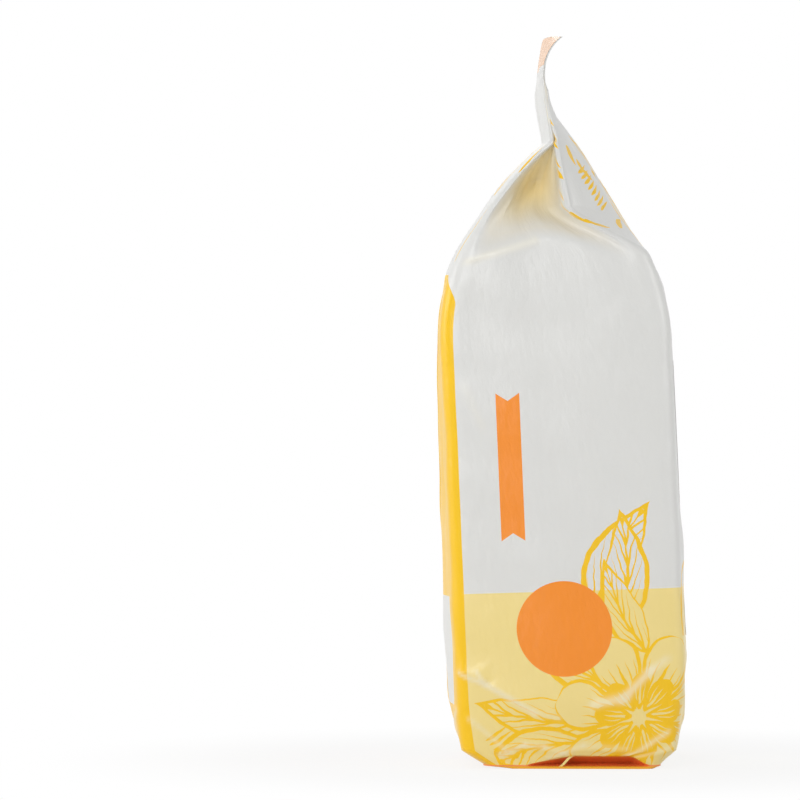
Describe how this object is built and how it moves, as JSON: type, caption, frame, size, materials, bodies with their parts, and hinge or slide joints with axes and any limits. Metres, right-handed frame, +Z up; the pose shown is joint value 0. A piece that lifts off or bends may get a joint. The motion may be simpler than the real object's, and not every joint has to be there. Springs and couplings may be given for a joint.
{
  "type": "wet wipes pack",
  "caption": "Sealed film pack of folded wet wipes standing on its folded bottom end, with a crimped top seal, tucked sides, a back fin seam and a peel-and-reseal label on the front.",
  "frame": {"origin": "on the floor, under the middle of the pack's bounding box", "axes": "+Z up along the pack's length, towards the crimped top seal; +X out of the front face that holds the reseal label; +Y towards the far narrow side"},
  "size_m": [0.1001, 0.1064, 0.2835],
  "materials": {
    "printed_film": "printed laminate film, satin sheen",
    "label_film": "smooth adhesive label film, gloss"
  },
  "bodies": {
    "root": {"wrapper": "printed_film", "reseal_label": "label_film"}
  },
  "joints": []
}
